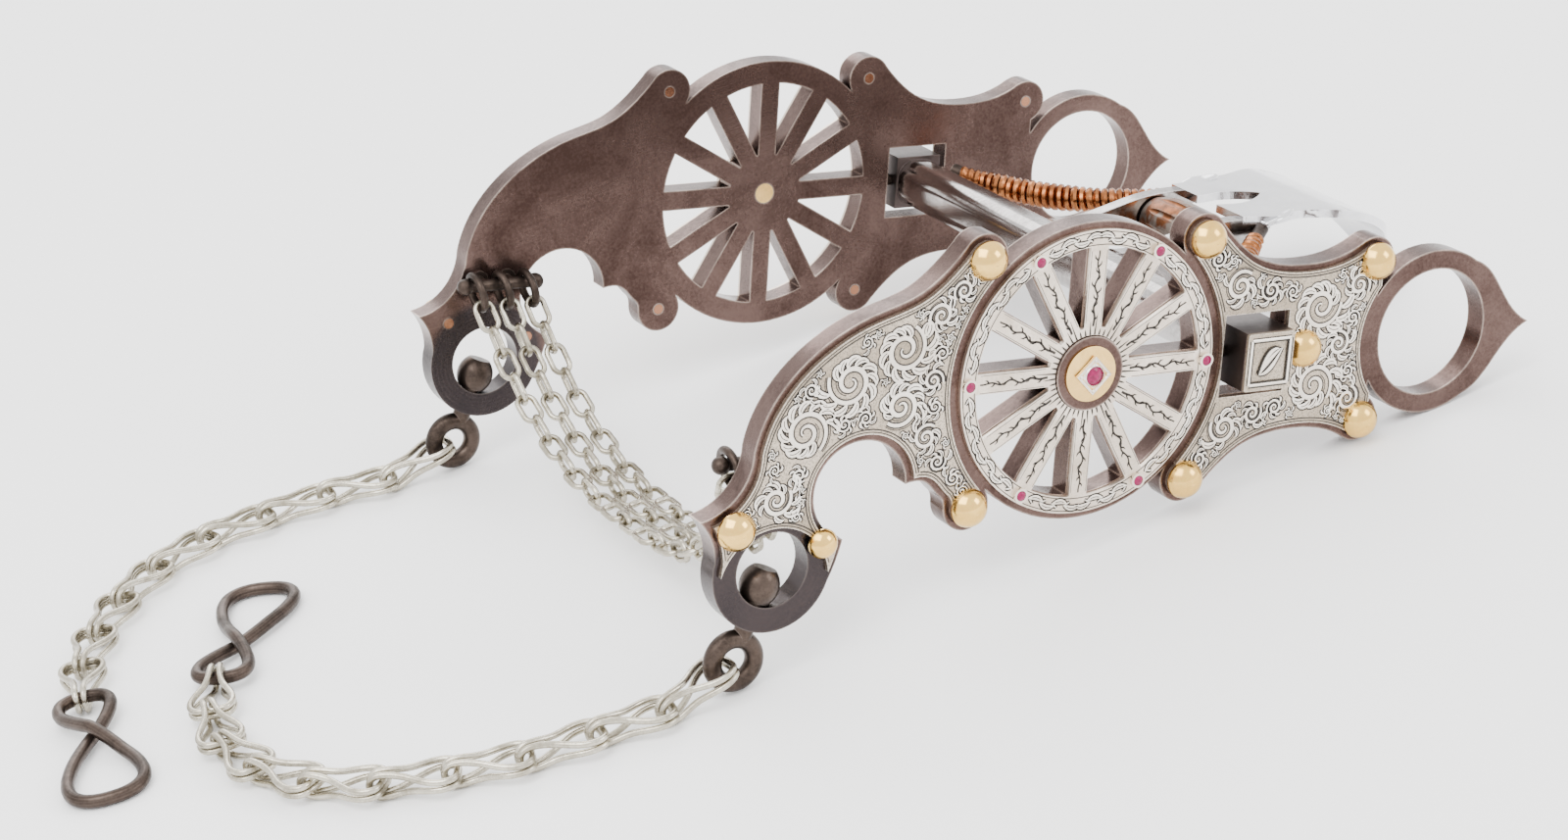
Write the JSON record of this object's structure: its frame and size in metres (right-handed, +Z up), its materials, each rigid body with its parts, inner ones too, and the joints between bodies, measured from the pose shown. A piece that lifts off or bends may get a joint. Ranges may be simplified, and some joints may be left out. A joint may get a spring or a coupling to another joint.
{
  "type": "curb bit",
  "caption": "Western curb bit: loose spoked-wheel cheeks with silver overlays, spade mouthpiece with roller and braces, rein chains with hooks and a triple curb chain.",
  "frame": {"origin": "middle of the mouth bar, between the two cheeks", "axes": "+X towards the headstall rings along the table, +Y from the left cheek to the right cheek, +Z up off the table the bit lies on"},
  "size_m": [0.3165, 0.1496, 0.073],
  "materials": {
    "browned_steel": "browned, worn at the edges",
    "dark_steel": "dark grey, satin",
    "polished_steel": "polished",
    "engraved_silver": "engraved, warm white",
    "gold": "pale gold, polished",
    "ruby": "polished stone",
    "copper": "bright copper",
    "nickel_silver": "warm nickel, worn"
  },
  "bodies": {
    "mouthpiece": {"mouth_bar": "polished_steel", "tenon_caps": "engraved_silver", "hinge_pins": "dark_steel", "spoon": "polished_steel", "braces": "dark_steel", "brace_windings": "copper"},
    "roller": {"cricket_roller": "copper"},
    "left_cheek": {"left_cheek_plate": "browned_steel", "left_wheel_overlay": "engraved_silver", "left_shank_overlay": "engraved_silver", "left_purchase_overlay": "engraved_silver", "left_studs": "gold", "left_ruby_settings": "gold", "left_rubies": "ruby", "left_chain_rack": "dark_steel"},
    "left_swivel": {"left_rein_swivel": "dark_steel"},
    "left_link_01": {"left_rein_link_01": "nickel_silver"},
    "left_link_02": {"left_rein_link_02": "nickel_silver"},
    "left_link_03": {"left_rein_link_03": "nickel_silver"},
    "left_link_04": {"left_rein_link_04": "nickel_silver"},
    "left_link_05": {"left_rein_link_05": "nickel_silver"},
    "left_link_06": {"left_rein_link_06": "nickel_silver"},
    "left_link_07": {"left_rein_link_07": "nickel_silver"},
    "left_link_08": {"left_rein_link_08": "nickel_silver"},
    "left_link_09": {"left_rein_link_09": "nickel_silver"},
    "left_link_10": {"left_rein_link_10": "nickel_silver"},
    "left_hook": {"left_rein_hook": "dark_steel"},
    "right_cheek": {"right_cheek_plate": "browned_steel", "right_wheel_overlay": "engraved_silver", "right_shank_overlay": "engraved_silver", "right_purchase_overlay": "engraved_silver", "right_studs": "gold", "right_ruby_settings": "gold", "right_rubies": "ruby", "right_chain_rack": "dark_steel"},
    "right_swivel": {"right_rein_swivel": "dark_steel"},
    "right_link_01": {"right_rein_link_01": "nickel_silver"},
    "right_link_02": {"right_rein_link_02": "nickel_silver"},
    "right_link_03": {"right_rein_link_03": "nickel_silver"},
    "right_link_04": {"right_rein_link_04": "nickel_silver"},
    "right_link_05": {"right_rein_link_05": "nickel_silver"},
    "right_link_06": {"right_rein_link_06": "nickel_silver"},
    "right_link_07": {"right_rein_link_07": "nickel_silver"},
    "right_link_08": {"right_rein_link_08": "nickel_silver"},
    "right_link_09": {"right_rein_link_09": "nickel_silver"},
    "right_hook": {"right_rein_hook": "dark_steel"},
    "right_rings": {"right_rack_rings": "dark_steel"},
    "right_curb_1": {"right_curb_chain_1": "nickel_silver"},
    "right_curb_2": {"right_curb_chain_2": "nickel_silver"},
    "right_curb_3": {"right_curb_chain_3": "nickel_silver"},
    "right_curb_4": {"right_curb_chain_4": "nickel_silver"},
    "right_curb_5": {"right_curb_chain_5": "nickel_silver"},
    "right_curb_6": {"right_curb_chain_6": "nickel_silver"},
    "left_rings": {"left_rack_rings": "dark_steel"},
    "left_curb_1": {"left_curb_chain_1": "nickel_silver"},
    "left_curb_2": {"left_curb_chain_2": "nickel_silver"},
    "left_curb_3": {"left_curb_chain_3": "nickel_silver"},
    "left_curb_4": {"left_curb_chain_4": "nickel_silver"},
    "left_curb_5": {"left_curb_chain_5": "nickel_silver"},
    "left_curb_6": {"left_curb_chain_6": "nickel_silver"}
  },
  "joints": [
    {"name": "roller_spin", "type": "hinge", "parent": "mouthpiece", "child": "roller", "pos_m": [0.02991, 0, -0.00409], "axis": [0, 1, 0], "continuous": true},
    {"name": "left_cheek_swing", "type": "hinge", "parent": "mouthpiece", "child": "left_cheek", "pos_m": [0, -0.066, 0], "axis": [0.9692, 0, -0.2461], "range_deg": [-8, 8]},
    {"name": "left_swivel_turn", "type": "hinge", "parent": "left_cheek", "child": "left_swivel", "pos_m": [-0.11045, -0.066, -0.00549], "axis": [-0.5247, 0, -0.8513], "range_deg": [-20, 20]},
    {"name": "left_link_01_yaw", "type": "hinge", "parent": "left_swivel", "child": "left_link_01", "pos_m": [-0.12192, -0.066, -0.0219], "axis": [0, 0, 1], "range_deg": [-5, 5]},
    {"name": "left_link_02_lift", "type": "hinge", "parent": "left_link_01", "child": "left_link_02", "pos_m": [-0.13537, -0.06789, -0.0253], "axis": [-0.1219, -0.9925, 0], "range_deg": [-8, 8]},
    {"name": "left_link_03_yaw", "type": "hinge", "parent": "left_link_02", "child": "left_link_03", "pos_m": [-0.14927, -0.06618, -0.0253], "axis": [0, 0, -1], "range_deg": [-10, 10]},
    {"name": "left_link_04_lift", "type": "hinge", "parent": "left_link_03", "child": "left_link_04", "pos_m": [-0.16319, -0.06472, -0.0253], "axis": [0.342, 0.9397, 0], "range_deg": [-8, 8]},
    {"name": "left_link_05_yaw", "type": "hinge", "parent": "left_link_04", "child": "left_link_05", "pos_m": [-0.17635, -0.05993, -0.0253], "axis": [0, 0, 1], "range_deg": [-10, 10]},
    {"name": "left_link_06_lift", "type": "hinge", "parent": "left_link_05", "child": "left_link_06", "pos_m": [-0.18893, -0.0538, -0.0253], "axis": [-0.6947, -0.7193, 0], "range_deg": [-8, 8]},
    {"name": "left_link_07_yaw", "type": "hinge", "parent": "left_link_06", "child": "left_link_07", "pos_m": [-0.199, -0.04407, -0.0253], "axis": [0, 0, -1], "range_deg": [-10, 0]},
    {"name": "left_link_08_lift", "type": "hinge", "parent": "left_link_07", "child": "left_link_08", "pos_m": [-0.20536, -0.0316, -0.0253], "axis": [0.9903, 0.1392, 0], "range_deg": [-8, 8]},
    {"name": "left_link_09_yaw", "type": "hinge", "parent": "left_link_08", "child": "left_link_09", "pos_m": [-0.20731, -0.01773, -0.0253], "axis": [0, 0, 1], "range_deg": [-1, 10]},
    {"name": "left_link_10_lift", "type": "hinge", "parent": "left_link_09", "child": "left_link_10", "pos_m": [-0.20487, -0.00394, -0.0253], "axis": [-0.8988, 0.4384, 0], "range_deg": [-8, 8]},
    {"name": "left_hook_yaw", "type": "hinge", "parent": "left_link_10", "child": "left_hook", "pos_m": [-0.19874, 0.00864, -0.0253], "axis": [0, 0, 1], "range_deg": [0, 8]},
    {"name": "right_cheek_swing", "type": "hinge", "parent": "mouthpiece", "child": "right_cheek", "pos_m": [0, 0.066, 0], "axis": [0.9692, 0, -0.2461], "range_deg": [-8, 8]},
    {"name": "right_swivel_turn", "type": "hinge", "parent": "right_cheek", "child": "right_swivel", "pos_m": [-0.11045, 0.066, -0.00549], "axis": [-0.5247, 0, -0.8513], "range_deg": [-2, 20]},
    {"name": "right_link_01_yaw", "type": "hinge", "parent": "right_swivel", "child": "right_link_01", "pos_m": [-0.12192, 0.066, -0.0219], "axis": [0, 0, 1], "range_deg": [-5, 1]},
    {"name": "right_link_02_lift", "type": "hinge", "parent": "right_link_01", "child": "right_link_02", "pos_m": [-0.1355, 0.066, -0.0253], "axis": [-0.2419, -0.9703, 0], "range_deg": [-8, 8]},
    {"name": "right_link_03_yaw", "type": "hinge", "parent": "right_link_02", "child": "right_link_03", "pos_m": [-0.14909, 0.06939, -0.0253], "axis": [0, 0, -1], "range_deg": [-1, 10]},
    {"name": "right_link_04_lift", "type": "hinge", "parent": "right_link_03", "child": "right_link_04", "pos_m": [-0.16306, 0.07036, -0.0253], "axis": [-0.0175, 0.9998, 0], "range_deg": [-8, 8]},
    {"name": "right_link_05_yaw", "type": "hinge", "parent": "right_link_04", "child": "right_link_05", "pos_m": [-0.17705, 0.07012, -0.0253], "axis": [0, 0, 1], "range_deg": [-10, 1]},
    {"name": "right_link_06_lift", "type": "hinge", "parent": "right_link_05", "child": "right_link_06", "pos_m": [-0.19029, 0.06556, -0.0253], "axis": [0.5878, -0.809, 0], "range_deg": [-8, 8]},
    {"name": "right_link_07_yaw", "type": "hinge", "parent": "right_link_06", "child": "right_link_07", "pos_m": [-0.20162, 0.05733, -0.0253], "axis": [0, 0, -1], "range_deg": [-6, 10]},
    {"name": "right_link_08_lift", "type": "hinge", "parent": "right_link_07", "child": "right_link_08", "pos_m": [-0.2108, 0.04677, -0.0253], "axis": [-0.848, 0.5299, 0], "range_deg": [-8, 8]},
    {"name": "right_link_09_yaw", "type": "hinge", "parent": "right_link_08", "child": "right_link_09", "pos_m": [-0.21822, 0.03489, -0.0253], "axis": [0, 0, 1], "range_deg": [-10, 7]},
    {"name": "right_hook_yaw", "type": "hinge", "parent": "right_link_09", "child": "right_hook", "pos_m": [-0.22301, 0.02174, -0.0253], "axis": [0, 0, 1], "range_deg": [-8, 0]},
    {"name": "right_ring_swing", "type": "hinge", "parent": "right_cheek", "child": "right_rings", "pos_m": [-0.10493, 0.0592, 0.0122], "axis": [0.9692, 0, -0.2461], "range_deg": [0, 8]},
    {"name": "right_curb_1_bend", "type": "hinge", "parent": "right_rings", "child": "right_curb_1", "pos_m": [-0.10493, 0.05688, 0.00849], "axis": [0.9692, 0, -0.2461], "range_deg": [0, 11]},
    {"name": "right_curb_2_bend", "type": "hinge", "parent": "right_curb_1", "child": "right_curb_2", "pos_m": [-0.10493, 0.05094, -0.00102], "axis": [0.9692, 0, -0.2461], "range_deg": [0, 11]},
    {"name": "right_curb_3_bend", "type": "hinge", "parent": "right_curb_2", "child": "right_curb_3", "pos_m": [-0.10493, 0.04374, -0.00961], "axis": [0.9692, 0, -0.2461], "range_deg": [0, 12]},
    {"name": "right_curb_4_bend", "type": "hinge", "parent": "right_curb_3", "child": "right_curb_4", "pos_m": [-0.10493, 0.03445, -0.01587], "axis": [0.9692, 0, -0.2461], "range_deg": [0, 12]},
    {"name": "right_curb_5_bend", "type": "hinge", "parent": "right_curb_4", "child": "right_curb_5", "pos_m": [-0.10493, 0.02405, -0.02007], "axis": [0.9692, 0, -0.2461], "range_deg": [0, 12]},
    {"name": "right_curb_6_bend", "type": "hinge", "parent": "right_curb_5", "child": "right_curb_6", "pos_m": [-0.10493, 0.01298, -0.02183], "axis": [0.9692, 0, -0.2461], "range_deg": [0, 11]},
    {"name": "left_ring_swing", "type": "hinge", "parent": "left_cheek", "child": "left_rings", "pos_m": [-0.10493, -0.0592, 0.0122], "axis": [-0.9692, 0, 0.2461], "range_deg": [0, 8]},
    {"name": "left_curb_1_bend", "type": "hinge", "parent": "left_rings", "child": "left_curb_1", "pos_m": [-0.10493, -0.05688, 0.00849], "axis": [-0.9692, 0, 0.2461], "range_deg": [0, 11]},
    {"name": "left_curb_2_bend", "type": "hinge", "parent": "left_curb_1", "child": "left_curb_2", "pos_m": [-0.10493, -0.05094, -0.00102], "axis": [-0.9692, 0, 0.2461], "range_deg": [0, 11]},
    {"name": "left_curb_3_bend", "type": "hinge", "parent": "left_curb_2", "child": "left_curb_3", "pos_m": [-0.10493, -0.04374, -0.00961], "axis": [-0.9692, 0, 0.2461], "range_deg": [0, 12]},
    {"name": "left_curb_4_bend", "type": "hinge", "parent": "left_curb_3", "child": "left_curb_4", "pos_m": [-0.10493, -0.03445, -0.01587], "axis": [-0.9692, 0, 0.2461], "range_deg": [0, 12]},
    {"name": "left_curb_5_bend", "type": "hinge", "parent": "left_curb_4", "child": "left_curb_5", "pos_m": [-0.10493, -0.02405, -0.02007], "axis": [-0.9692, 0, 0.2461], "range_deg": [0, 12]},
    {"name": "left_curb_6_bend", "type": "hinge", "parent": "left_curb_5", "child": "left_curb_6", "pos_m": [-0.10493, -0.01298, -0.02183], "axis": [-0.9692, 0, 0.2461], "range_deg": [0, 11]}
  ]
}
